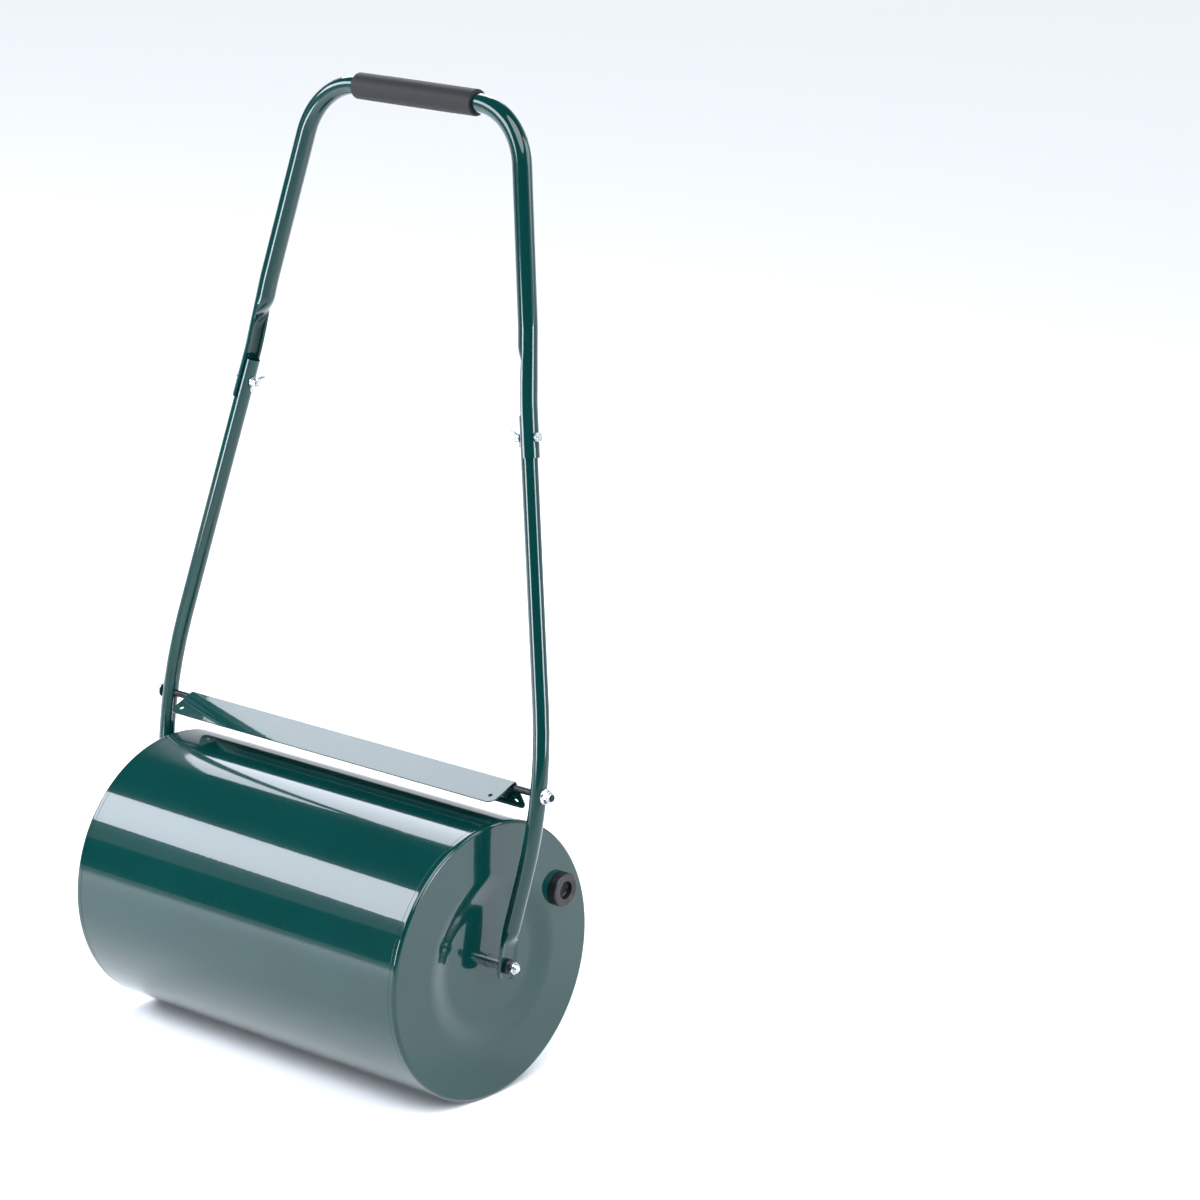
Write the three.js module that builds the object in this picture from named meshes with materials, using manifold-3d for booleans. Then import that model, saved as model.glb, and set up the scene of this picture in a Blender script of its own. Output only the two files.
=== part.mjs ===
// A push-type garden roller: a hollow steel drum that is filled through a plug in its right end,
// two bent lower arms, a U-shaped upper handle with a foam grip, and a folded scraper on a tie rod.
// Millimetres, +Z up. The origin is on the ground under the middle of the drum, whose axle runs along X.
// The handle leans towards +Y. "Right" is +X.
import * as THREE from "three";
import { mergeVertices } from "three/addons/utils/BufferGeometryUtils.js";
import Module from "manifold-3d";

const wasm = await Module();
wasm.setup();

// ---- Clearances --------------------------------------------------------------------------------
const touchGap = 0.3; // between two pieces that bear on each other
const threadGap = 0.35; // between a threaded shank and the hole or nut around it

// ---- Drum --------------------------------------------------------------------------------------
const drumRadius = 160;
const drumLength = 500;
const drumSegments = 60;
const shellWall = 1.5;
const discSheet = 1.2;
const discSkirt = 8.5; // rim of the end disc that shows beyond the end of the shell
const discSpigot = 10; // stepped-in flange that the shell is pushed over
const discEdgeRadius = 4.5;
const dishDepth = 6; // pressed recess round the axle
const dishOuterRadius = 98;
const dishInnerRadius = 74;

// ---- Axle --------------------------------------------------------------------------------------
const hubPlateRadius = 42;
const hubPlateThickness = 3;
const axleHeadRadius = 10;
const axleHeadLength = 5;
const axleShoulderRadius = 7;
const axleThreadRadius = 4; // M8
const axleThreadEnd = 1.6; // thread that shows past the nut
const bushSleeveRadius = 6; // bush that lines the arm's hole round the axle
const bushFlangeRadius = 8.6;
const bushFlangeThickness = 4.6;

// ---- Filler hole and plug ------------------------------------------------------------------------
const fillerDistance = 125; // from the axle to the middle of the hole
const fillerAngle = 63; // degrees from straight up towards +Y
const fillerHoleRadius = 16;
const fillerCollarDepth = 8; // collar turned inwards round the hole
const plugFlangeRadius = 19.5;
const plugFlangeHeight = 10.5;
const plugRecessRadius = 10;
const plugRecessDepth = 8;
const plugHeadLength = 8;
const plugHeadGap = 0.5; // between the plug's head and the wall of the hole
const plugNeckRadius = 13.5;

// ---- Lower arms --------------------------------------------------------------------------------
const armRadius = 9.5;
const tubeWall = 0.9;
const armPlateGap = 17; // from the drum's end face to the inner face of the flattened end
const armPlateThickness = 4.4;
const armPlateHalfWidth = 14;
const armPlateCurl = 1.1; // how far the flattened end's long edges turn outwards
const armPlateBelow = 15; // flattened end below the axle
const armPlateAbove = 19; // flattened end above the axle
const armSwell = 24; // length over which the flattened end swells to the round tube
const armKickHeight = 28;
const armKickSlope = 0.16;
const armKickRadius = 60;
const armBendRadius = 520;

// ---- Upper handle and grip -----------------------------------------------------------------------
const handleLean = 8.95; // degrees
const handleReach = 931; // from the axle to the middle of the grip
const handleRadius = 11;
const handleCornerHalfWidth = 151; // where the legs would meet the top tube if the corners were sharp
const handleBendRadius = 75;
const gripRadius = 15;
const gripHalfLength = 90;
const gripEdge = 1.5;

// ---- Joint between arm and handle ----------------------------------------------------------------
const jointHeight = 580; // bolt, from the axle
const jointHalfWidth = 215.6; // from the middle to the arm's centre line at the bolt
const troughOverlap = 22; // handle end below the bolt
const armOverlap = 24; // arm end above the bolt
const troughAbove = 100; // length of the trough above the bolt
const troughSwell = 42; // length over which the trough swells to the round tube
const troughSlit = 0.2; // left of the bore between the trough's two pressed walls
const troughLip = 90; // degrees from the trough's middle to either lip
const boreLipShort = 5; // degrees by which the slit stops short of the lips
const joggleLow = 36; // above the bolt, where the handle starts to lean off the arm's line
const joggleHigh = 117; // above the bolt, where it turns back
const joggleShift = 6.2; // from the arm's line to the handle's at the upper turn
const joggleRadius = 150;
const jointThreadRadius = 3; // M6
const jointThreadEnd = 3;

// ---- Scraper and its tie rod ---------------------------------------------------------------------
const rodGap = 37; // from the drum's surface to the middle of the rod
const rodRadius = 4; // M8
const rodEnd = 1.6; // rod that shows past the nut
const scraperHalfLength = 252;
const scraperSheet = 1.5;
const scraperLeg = 43; // from the sharp ridge to either edge
const scraperHalfAngle = 48; // degrees, half of the fold's inside angle
const scraperRidge = 8.2; // from the rod up to the sharp ridge
const scraperBendRadius = 3;
const scraperCorner = 10;
const scraperHoleRadius = 2.5;
const scraperHoleInset = 11;
const scraperTilt = 20; // degrees that the fold's opening turns towards -Y
const lugInset = 24; // from the scraper's end to the lug
const lugSheet = 2;
const lugDrop = 14; // lug below the rod

// ---- Fasteners: width across flats, height and so on -----------------------------------------------
const lockNut = { bore: 4, flats: 13, height: 8, collarRadius: 5.4, collarHeight: 2.4 };
const flangeNut = { ...lockNut, height: 9.4, flangeRadius: 8.9, flangeHeight: 1.8 };
const jointHead = { flats: 10, height: 4 };
const jointWasher = { radius: 6, height: 1.2 };
const wingNut = { hubBase: 5.6, hubTop: 4.6, hubHeight: 6.5, span: 11, tip: 10.5, thickness: 2.2, root: 1.2 };
const wingNutTurn = 38; // degrees that the wings stand turned about the bolt

// ---- Worked out from the sizes above -----------------------------------------------------------
const deg = Math.PI / 180;
const half = drumLength / 2;
const rodHeight = drumRadius + rodGap;
const armPlateX = half + armPlateGap + armPlateThickness / 2;
const armCornerX = armPlateX + armKickSlope * (rodHeight - armKickHeight);
const troughInner = armRadius + touchGap;
const troughOuter = troughInner + 2 * tubeWall + troughSlit;
const nestOffset = troughOuter - handleRadius; // the handle's line lies this far outside the arm's

// ---- Materials ---------------------------------------------------------------------------------
function finish(color, roughness, metalness) {
  return new THREE.MeshStandardMaterial({ color, roughness, metalness });
}
const greenEnamel = finish(0x0b3a2e, 0.22, 0.0);
const zinc = finish(0xc9ccd0, 0.3, 1.0);
const steel = finish(0x8f9498, 0.45, 1.0);
const foam = finish(0x1c1c1e, 0.95, 0.0);
const rubber = finish(0x18181a, 0.7, 0.0);
const nylon = finish(0x151517, 0.45, 0.0);
const blackOxide = finish(0x1b1c1e, 0.4, 0.8);

// Stands a section that is drawn in XY up in YZ, with its depth along +X.
const sectionToYZ = new THREE.Matrix4().makeBasis(
  new THREE.Vector3(0, 1, 0),
  new THREE.Vector3(0, 0, 1),
  new THREE.Vector3(1, 0, 0),
);

// ---- Solids ------------------------------------------------------------------------------------
function toSolid(geometry) {
  const bare = geometry.index ? geometry.toNonIndexed() : geometry.clone();
  bare.deleteAttribute("normal");
  bare.deleteAttribute("uv");
  const merged = mergeVertices(bare, 1e-4);
  const vertProperties = merged.attributes.position.array;
  const triVerts = new Uint32Array(merged.index.array);
  return new wasm.Manifold(new wasm.Mesh({ numProp: 3, vertProperties, triVerts }));
}

function fromSolid(solid) {
  const mesh = solid.getMesh();
  const geometry = new THREE.BufferGeometry();
  geometry.setAttribute("position", new THREE.BufferAttribute(mesh.vertProperties, 3));
  geometry.setIndex(new THREE.BufferAttribute(mesh.triVerts, 1));
  geometry.computeVertexNormals();
  return geometry;
}

function join(...geometries) {
  return fromSolid(geometries.map(toSolid).reduce((all, next) => all.add(next)));
}

function cut(geometry, ...tools) {
  return fromSolid(tools.map(toSolid).reduce((left, tool) => left.subtract(tool), toSolid(geometry)));
}

// A solid turned about X from a profile of [radius, x] points, in order of growing x round the material.
function turned(profile, segments) {
  const points = profile.map(([radius, x]) => new THREE.Vector2(radius, x));
  const closed = points[0].x > 0 ? [...points, points[0].clone()] : points;
  return new THREE.LatheGeometry(closed, segments).rotateZ(-Math.PI / 2);
}

// A round bar along X from x0 to x1.
function bar(radius, x0, x1, segments = 20) {
  return turned([[0, x0], [radius, x0], [radius, x1], [0, x1]], segments);
}

// A hexagonal bar along X.
function hexBar(flats, x0, x1) {
  return new THREE.CylinderGeometry(flats / Math.sqrt(3), flats / Math.sqrt(3), x1 - x0, 6)
    .rotateZ(Math.PI / 2)
    .translate((x0 + x1) / 2, 0, 0);
}

// An outline drawn in XY given a depth along +Z.
function slab(outline, depth, curveSegments) {
  return new THREE.ExtrudeGeometry(outline, { depth, bevelEnabled: false, curveSegments });
}

// An arc of [radius, x] points from angle a0 to a1 in degrees.
function arc(centreRadius, centreX, radius, a0, a1, steps = 3) {
  const points = [];
  for (let i = 0; i <= steps; i++) {
    const a = (a0 + ((a1 - a0) * i) / steps) * deg;
    points.push([centreRadius + radius * Math.cos(a), centreX + radius * Math.sin(a)]);
  }
  return points;
}

// An angle brought between minus and plus half a turn.
function shortestTurn(angle) {
  return Math.atan2(Math.sin(angle), Math.cos(angle));
}

// ---- Planar sweeps -----------------------------------------------------------------------------
// Stations along a path in the XZ plane with round corners. A corner is [x, z, radius].
function stationsAlong(corners, stepAngle) {
  const stations = [];
  const heading = (from, to) => Math.atan2(to[1] - from[1], to[0] - from[0]);
  const push = (x, z, direction) => {
    const last = stations.at(-1);
    const along = last ? last.along + Math.hypot(x - last.x, z - last.z) : 0;
    stations.push({ x, z, direction, along });
  };
  corners.forEach(([x, z, radius], i) => {
    const before = corners[i - 1];
    const after = corners[i + 1];
    if (!before || !after) {
      push(x, z, before ? heading(before, corners[i]) : heading(corners[i], after));
      return;
    }
    const from = heading(before, corners[i]);
    const turn = shortestTurn(heading(corners[i], after) - from);
    const setback = radius * Math.tan(Math.abs(turn) / 2);
    const side = Math.sign(turn);
    const startX = x - setback * Math.cos(from);
    const startZ = z - setback * Math.sin(from);
    const centreX = startX - side * radius * Math.sin(from);
    const centreZ = startZ + side * radius * Math.cos(from);
    const steps = Math.max(2, Math.ceil(Math.abs(turn) / stepAngle));
    for (let k = 0; k <= steps; k++) {
      const direction = from + (turn * k) / steps;
      const outX = side * radius * Math.sin(direction);
      const outZ = -side * radius * Math.cos(direction);
      push(centreX + outX, centreZ + outZ, direction);
    }
  });
  return stations;
}

// Adds stations at the given distances along the path's straight stretches.
function withStationsAt(stations, distances) {
  const all = [...stations];
  for (const along of distances) {
    const i = stations.findIndex((s) => s.along > along);
    const [a, b] = [stations[i - 1], stations[i]];
    const t = (along - a.along) / (b.along - a.along);
    const direction = Math.atan2(b.z - a.z, b.x - a.x);
    all.push({ x: a.x + (b.x - a.x) * t, z: a.z + (b.z - a.z) * t, direction, along });
  }
  return all.sort((p, q) => p.along - q.along);
}

// A closed skin over rings. A ring is a list of [out, y] points, where out points to the right of the path.
function sweep(stations, ringAt) {
  const rings = stations.map((station) => ringAt(station));
  const count = rings[0].length;
  const positions = [];
  stations.forEach((station, i) => {
    const outX = Math.sin(station.direction);
    const outZ = -Math.cos(station.direction);
    for (const [out, y] of rings[i]) positions.push(station.x + outX * out, y, station.z + outZ * out);
  });
  const index = [];
  for (let i = 0; i + 1 < stations.length; i++) {
    for (let j = 0; j < count; j++) {
      const a = i * count + j;
      const b = i * count + ((j + 1) % count);
      index.push(a, b, b + count, a, b + count, a + count);
    }
  }
  const flat = (ring) => ring.map(([out, y]) => new THREE.Vector2(out, y));
  const lid = (ring) => THREE.ShapeUtils.triangulateShape(flat(ring), []);
  const last = (stations.length - 1) * count;
  for (const [a, b, c] of lid(rings[0])) index.push(a, c, b);
  for (const [a, b, c] of lid(rings.at(-1))) index.push(last + a, last + b, last + c);
  const geometry = new THREE.BufferGeometry();
  geometry.setAttribute("position", new THREE.Float32BufferAttribute(positions, 3));
  geometry.setIndex(index);
  return geometry;
}

const ringCount = 20; // points round a tube, a multiple of four

function roundRing(radius) {
  return Array.from({ length: ringCount }, (_, j) => {
    const a = (j * 2 * Math.PI) / ringCount;
    return [radius * Math.cos(a), radius * Math.sin(a)];
  });
}

// A pressed-flat tube end: flat inside, its long edges curled outwards on the outside.
function flatRing(halfThickness, halfWidth, curl) {
  return Array.from({ length: ringCount }, (_, j) => {
    const a = (j * 360) / ringCount;
    const outside = a <= 90 || a >= 270;
    const share = outside ? (a <= 90 ? a : a - 360) / 90 : (180 - a) / 90;
    const y = Math.max(-1, Math.min(1, 1.17 * share));
    const edge = Math.abs(share) === 1;
    const lift = curl * y * y;
    const out = edge ? lift : (outside ? halfThickness : -halfThickness) + lift;
    return [out, halfWidth * (edge ? Math.sign(share) * 1.03 : y)];
  });
}

// A tube end pressed into a trough round the arm, whose line lies nestOffset inside the tube's.
function troughRing(outerRadius, innerRadius, lipAngle) {
  const half = ringCount / 2;
  const at = (radius, a) => [radius * Math.cos(a) - nestOffset, radius * Math.sin(a)];
  return Array.from({ length: ringCount }, (_, j) => {
    const back = j <= half / 2 || j >= ringCount - half / 2;
    const share = back ? (j <= half / 2 ? j : j - ringCount) / (half / 2) : (half - j) / (half / 2 - 1);
    return at(back ? outerRadius : innerRadius, share * lipAngle * deg);
  });
}

// A ring part of the way from one ring to another, eased at both ends.
function between(ringA, ringB, share) {
  const t = Math.min(1, Math.max(0, share));
  const eased = t * t * (3 - 2 * t);
  return ringA.map(([out, y], j) => [out + (ringB[j][0] - out) * eased, y + (ringB[j][1] - y) * eased]);
}

// ---- Fasteners, each along +X with its bearing face at x = 0 -----------------------------------------
function hexNut(nut) {
  const collarEnd = nut.height - nut.collarHeight;
  const pieces = [hexBar(nut.flats, 0, collarEnd), bar(nut.collarRadius, collarEnd - 1, nut.height)];
  if (nut.flangeRadius) {
    const rim = nut.flangeHeight / 3;
    const neck = 1.6 * nut.flangeHeight;
    const hexRadius = nut.flats / 2;
    pieces.push(
      turned([[0, 0], [nut.flangeRadius, 0], [nut.flangeRadius, rim], [hexRadius, neck], [0, neck]], 24),
    );
  }
  return cut(join(...pieces), bar(nut.bore + threadGap, -1, nut.height + 1));
}

function washer(size, bore) {
  const inner = bore + threadGap;
  return turned([[inner, 0], [size.radius, 0], [size.radius, size.height], [inner, size.height]], 20);
}

function wingNutSolid(size, bore) {
  const hub = turned([[0, 0], [size.hubBase, 0], [size.hubTop, size.hubHeight], [0, size.hubHeight]], 16);
  const wing = new THREE.Shape();
  wing.moveTo(0, size.root);
  wing.lineTo(size.hubBase, size.root);
  wing.quadraticCurveTo(size.span, size.root + 1, size.span, size.tip - 2);
  wing.quadraticCurveTo(size.span, size.tip, size.span - 2.4, size.tip);
  wing.quadraticCurveTo(size.span - 3.6, size.tip - 3, size.hubTop - 0.6, size.hubHeight - 0.8);
  wing.lineTo(0, size.hubHeight - 0.8);
  wing.closePath();
  const plate = slab(wing, size.thickness, 5).translate(0, 0, -size.thickness / 2);
  return cut(join(hub, wingOn(plate, 1), wingOn(plate, -1)), bar(bore + threadGap, -1, size.hubHeight + 1));
}

// Turns an outline drawn in XY so that its X runs along +Z or -Z and its Y along +X.
function wingOn(geometry, side) {
  const turn = new THREE.Matrix4().makeBasis(
    new THREE.Vector3(0, 0, side),
    new THREE.Vector3(1, 0, 0),
    new THREE.Vector3(0, side, 0),
  );
  return geometry.clone().applyMatrix4(turn);
}

// ---- Scene graph -------------------------------------------------------------------------------
const roller = new THREE.Group();

const drum = new THREE.Group();
drum.position.z = drumRadius;
roller.add(drum);

const handle = new THREE.Group();
handle.position.z = drumRadius;
handle.rotation.x = -handleLean * deg;
roller.add(handle);

function place(parent, name, geometry, material) {
  const mesh = new THREE.Mesh(geometry, material);
  mesh.name = name;
  parent.add(mesh);
  return mesh;
}

// A group for each side of the roller: its +X points away from the middle.
function sideGroup(parent, side) {
  const group = new THREE.Group();
  group.rotation.z = side === "left" ? Math.PI : 0;
  parent.add(group);
  return group;
}

// ---- Drum --------------------------------------------------------------------------------------
function drumShell() {
  const end = half - discSkirt - touchGap;
  const inner = drumRadius - shellWall;
  return turned([[inner, -end], [drumRadius, -end], [drumRadius, end], [inner, end]], drumSegments);
}

function endDisc() {
  const spigotOuter = drumRadius - shellWall - touchGap;
  const spigotInner = spigotOuter - discSheet;
  const skirtEnd = half - discSkirt;
  const spigotEnd = skirtEnd - discSpigot;
  const edge = drumRadius - discEdgeRadius;
  const innerEdge = discEdgeRadius - discSheet;
  const axleHole = axleShoulderRadius + touchGap;
  const floor = half - dishDepth;
  const back = half - discSheet;
  return turned(
    [
      [axleHole, floor - discSheet],
      [dishInnerRadius, floor - discSheet],
      [dishOuterRadius, back],
      ...arc(spigotInner - innerEdge, half - discEdgeRadius, innerEdge, 90, 0),
      [spigotInner, spigotEnd],
      [spigotOuter, spigotEnd],
      [spigotOuter, skirtEnd],
      [drumRadius, skirtEnd],
      ...arc(edge, half - discEdgeRadius, discEdgeRadius, 0, 90),
      [dishOuterRadius, half],
      [dishInnerRadius, floor],
      [axleHole, floor],
    ],
    drumSegments,
  );
}

// Moves a piece that was turned about the axle line to the middle of the filler hole.
function toFiller(geometry) {
  const y = fillerDistance * Math.sin(fillerAngle * deg);
  const z = fillerDistance * Math.cos(fillerAngle * deg);
  return geometry.translate(0, y, z);
}

function endDiscWithFiller() {
  const collarOuter = fillerHoleRadius + discSheet;
  const collarEnd = half - fillerCollarDepth;
  const collar = toFiller(bar(collarOuter, collarEnd, half - discSheet / 2, 28));
  const hole = toFiller(bar(fillerHoleRadius, collarEnd - 1, half + 1, 28));
  return cut(join(endDisc(), collar), hole);
}

function fillerPlug() {
  const top = half + touchGap + plugFlangeHeight;
  const under = half + touchGap;
  const headRadius = fillerHoleRadius - plugHeadGap;
  const headStart = half - fillerCollarDepth - 1;
  const headEnd = headStart - plugHeadLength;
  return toFiller(
    turned(
      [
        [0, headEnd + 1.5],
        [8, headEnd],
        [headRadius - 3, headEnd],
        [headRadius, headEnd + 3],
        [headRadius, headStart - 1.5],
        [plugNeckRadius, headStart],
        [plugNeckRadius, under],
        [plugFlangeRadius, under],
        [plugFlangeRadius, top - 2],
        [plugFlangeRadius - 2, top],
        [plugRecessRadius, top],
        [plugRecessRadius, top - plugRecessDepth],
        [0, top - plugRecessDepth],
      ],
      32,
    ),
  );
}

const hubBack = half - dishDepth - discSheet - touchGap - hubPlateThickness;

function hubPlate() {
  const hole = axleShoulderRadius + touchGap;
  const front = hubBack + hubPlateThickness;
  return turned([[hole, hubBack], [hubPlateRadius, hubBack], [hubPlateRadius, front], [hole, front]], 32);
}

const armPlateInner = armPlateX - armPlateThickness / 2;
const armPlateOuter = armPlateX + armPlateThickness / 2;
const bushX = armPlateOuter + armPlateCurl + touchGap;
const axleNutX = bushX + bushFlangeThickness + touchGap;

function axleStub() {
  const headEnd = hubBack - touchGap;
  const shoulderEnd = armPlateInner - touchGap;
  const threadEnd = axleNutX + lockNut.height + axleThreadEnd;
  return turned(
    [
      [0, headEnd - axleHeadLength],
      [axleHeadRadius, headEnd - axleHeadLength],
      [axleHeadRadius, headEnd],
      [axleShoulderRadius, headEnd],
      [axleShoulderRadius, shoulderEnd],
      [axleThreadRadius, shoulderEnd],
      [axleThreadRadius, threadEnd - 1],
      [axleThreadRadius - 1, threadEnd],
      [0, threadEnd],
    ],
    20,
  );
}

place(drum, "drum_shell", drumShell(), greenEnamel);
place(drum, "filler_plug", fillerPlug(), rubber);
for (const side of ["right", "left"]) {
  const group = sideGroup(drum, side);
  place(group, "end_disc_" + side, side === "right" ? endDiscWithFiller() : endDisc(), greenEnamel);
  place(group, "hub_plate_" + side, hubPlate(), steel);
  place(group, "axle_stub_" + side, axleStub(), zinc);
  place(group, "axle_nut_" + side, hexNut(lockNut).translate(axleNutX, 0, 0), zinc);
}

// ---- Lower arms --------------------------------------------------------------------------------
const armDirection = Math.atan2(jointHeight - rodHeight, jointHalfWidth - armCornerX);
const armOut = [Math.sin(armDirection), -Math.cos(armDirection)];

// A point at a height on the arm's straight upper stretch, moved outwards from it.
function onArm(height, outwards) {
  const t = (height - rodHeight) / Math.sin(armDirection);
  const x = armCornerX + t * Math.cos(armDirection);
  return [x + armOut[0] * outwards, height + armOut[1] * outwards];
}

// Whether a distance along the path isn't already close to one of its stations.
function clearOf(path, along) {
  return path.every((station) => Math.abs(station.along - along) > 1);
}

// A station moved along its own direction.
function beyond(station, by) {
  const x = station.x + by * Math.cos(station.direction);
  const z = station.z + by * Math.sin(station.direction);
  return { ...station, x, z };
}

function lowerArm() {
  const top = onArm(jointHeight + armOverlap, 0);
  const path = stationsAlong(
    [
      [armPlateX, -armPlateBelow, 0],
      [armPlateX, armKickHeight, armKickRadius],
      [armCornerX, rodHeight, armBendRadius],
      [...top, 0],
    ],
    3.2 * deg,
  );
  const flatEnd = armPlateBelow + armPlateAbove;
  const swellSteps = [0, 0.2, 0.35, 0.5, 0.65, 0.8].map((share) => flatEnd + share * armSwell);
  const newSteps = swellSteps.filter((d) => clearOf(path, d));
  const stations = withStationsAt(path, newSteps);
  const outerFlat = flatRing(armPlateThickness / 2, armPlateHalfWidth, armPlateCurl);
  const outerRound = roundRing(armRadius);
  const outer = sweep(stations, (s) => between(outerFlat, outerRound, (s.along - flatEnd) / armSwell));
  const hollow = stations.filter((s) => s.along > flatEnd + armSwell);
  const last = hollow.at(-1);
  const inner = sweep([...hollow.slice(0, -1), beyond(last, 1)], () => roundRing(armRadius - tubeWall));
  const axleHole = bar(bushSleeveRadius + touchGap, armPlateX - 20, armPlateX + 20);
  const rodHole = bar(rodRadius + threadGap, armPlateX - 20, armPlateX + 60).translate(0, 0, rodHeight);
  return cut(outer, inner, axleHole, rodHole, jointHole());
}

// A flanged bush that lines the arm's hole, with its flange under the axle nut.
function axleBush() {
  const bore = axleThreadRadius + threadGap;
  const flangeEnd = bushX + bushFlangeThickness;
  return turned(
    [
      [bore, armPlateInner],
      [bushSleeveRadius, armPlateInner],
      [bushSleeveRadius, bushX],
      [bushFlangeRadius, bushX],
      [bushFlangeRadius, flangeEnd - 1],
      [bushFlangeRadius - 1, flangeEnd],
      [bore, flangeEnd],
    ],
    24,
  );
}

// The joint bolt's frame: +X along the bolt, away from the middle, with x = 0 on the arm's centre line.
function atJoint(geometry) {
  const [x, z] = onArm(jointHeight, 0);
  return geometry.rotateY(-Math.atan2(armOut[1], armOut[0])).translate(x, 0, z);
}

function jointHole() {
  return atJoint(bar(jointThreadRadius + threadGap, -30, 30));
}

// Where the curve of the arm crosses the tie rod's height, its centre line's x.
function armCentreAtRod() {
  const turn = armDirection - Math.atan2(1, armKickSlope);
  return armCornerX - armBendRadius * (1 / Math.cos(turn / 2) - 1);
}

// ---- Upper handle ------------------------------------------------------------------------------
function upperHandle() {
  const [endX, endZ] = onArm(jointHeight - troughOverlap, nestOffset);
  const [lowX, lowZ] = onArm(jointHeight + joggleLow, nestOffset);
  const [highX, highZ] = onArm(jointHeight + joggleHigh, joggleShift);
  const path = stationsAlong(
    [
      [endX, endZ, 0],
      [lowX, lowZ, joggleRadius],
      [highX, highZ, joggleRadius],
      [handleCornerHalfWidth, handleReach, handleBendRadius],
      [-handleCornerHalfWidth, handleReach, handleBendRadius],
      [-highX, highZ, joggleRadius],
      [-lowX, lowZ, joggleRadius],
      [-endX, endZ, 0],
    ],
    9 * deg,
  );
  const length = path.at(-1).along;
  const troughEnd = troughOverlap + troughAbove - troughSwell;
  const marks = [0, 0.2, 0.4, 0.6, 0.8, 1].map((share) => troughEnd + share * troughSwell);
  const marksBothEnds = [...marks, ...marks.map((d) => length - d)];
  const stations = withStationsAt(path, marksBothEnds.filter((d) => clearOf(path, d)));
  const shape = (round, trough) => (s) => {
    const fromEnd = Math.min(s.along, length - s.along);
    return between(trough, round, (fromEnd - troughEnd) / troughSwell);
  };
  const boreRadius = handleRadius - tubeWall;
  const outerTrough = troughRing(troughOuter, troughInner, troughLip);
  const innerTrough = troughRing(troughOuter - tubeWall, troughInner + tubeWall, troughLip - boreLipShort);
  const outer = sweep(stations, shape(roundRing(handleRadius), outerTrough));
  const longer = [beyond(stations[0], -1), ...stations.slice(1, -1), beyond(stations.at(-1), 1)];
  const inner = sweep(longer, shape(roundRing(boreRadius), innerTrough));
  const otherHole = jointHole().rotateZ(Math.PI);
  return cut(outer, inner, jointHole(), otherHole);
}

function foamGrip() {
  const inner = handleRadius + touchGap;
  const end = gripHalfLength;
  return turned(
    [
      [inner, -end],
      [gripRadius - gripEdge, -end],
      [gripRadius, -end + gripEdge],
      [gripRadius, end - gripEdge],
      [gripRadius - gripEdge, end],
      [inner, end],
    ],
    24,
  ).translate(0, 0, handleReach);
}

// ---- Fasteners of the joints ---------------------------------------------------------------------
function jointBolt() {
  const underHead = troughOuter + touchGap;
  const nutEnd = -armRadius - touchGap - jointWasher.height - touchGap - wingNut.hubHeight;
  const shank = bar(jointThreadRadius, nutEnd - jointThreadEnd, underHead + 1, 20);
  return atJoint(join(shank, hexBar(jointHead.flats, underHead, underHead + jointHead.height)));
}

function jointWasherPlaced() {
  const seat = -armRadius - touchGap;
  return atJoint(washer(jointWasher, jointThreadRadius).rotateZ(Math.PI).translate(seat, 0, 0));
}

function wingNutPlaced() {
  const seat = -armRadius - 2 * touchGap - jointWasher.height;
  const turnedIn = wingNutSolid(wingNut, jointThreadRadius).rotateZ(Math.PI);
  return atJoint(turnedIn.rotateX(wingNutTurn * deg).translate(seat, 0, 0));
}

// ---- Tie rod and scraper -----------------------------------------------------------------------
const rodNutX = armCentreAtRod() + armRadius + touchGap;

function tieRod() {
  const end = rodNutX + flangeNut.height + rodEnd;
  return turned(
    [
      [0, -end],
      [rodRadius - 1, -end],
      [rodRadius, 1 - end],
      [rodRadius, end - 1],
      [rodRadius - 1, end],
      [0, end],
    ],
    24,
  );
}

// The folded sheet is drawn as a section in YZ with the sharp ridge at the origin and its opening down.
const foldAngle = scraperHalfAngle * deg;

function foldedSection() {
  const centre = -scraperBendRadius / Math.sin(foldAngle);
  const edgeAt = (side, inwards) => [
    side * (scraperLeg * Math.sin(foldAngle) - inwards * Math.cos(foldAngle)),
    -scraperLeg * Math.cos(foldAngle) - inwards * Math.sin(foldAngle),
  ];
  const section = new THREE.Shape();
  section.moveTo(...edgeAt(1, scraperSheet));
  section.lineTo(...edgeAt(1, 0));
  section.absarc(0, centre, scraperBendRadius, foldAngle, Math.PI - foldAngle, false);
  section.lineTo(...edgeAt(-1, 0));
  section.lineTo(...edgeAt(-1, scraperSheet));
  section.absarc(0, centre, scraperBendRadius - scraperSheet, Math.PI - foldAngle, foldAngle, true);
  section.closePath();
  return section;
}

// Swings a tool that is drawn in XY, with the ridge along X and the leg along -Y, out to one leg.
function toLeg(geometry, side) {
  return geometry.rotateX(Math.PI / 2 + side * foldAngle);
}

// What is cut from a leg's corner to leave it round.
function cornerWaste(end) {
  const x = end * (scraperHalfLength - scraperCorner);
  const y = scraperCorner - scraperLeg;
  const waste = new THREE.Shape();
  const beyond = scraperCorner + 2;
  waste.moveTo(x, y - beyond);
  waste.lineTo(x + end * beyond, y - beyond);
  waste.lineTo(x + end * beyond, y);
  const [from, to] = end > 0 ? [0, -Math.PI / 2] : [Math.PI, 1.5 * Math.PI];
  waste.absarc(x, y, scraperCorner, from, to, end > 0);
  waste.closePath();
  const depth = 4 * scraperSheet;
  return slab(waste, depth, 5).translate(0, 0, -depth / 2);
}

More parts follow.
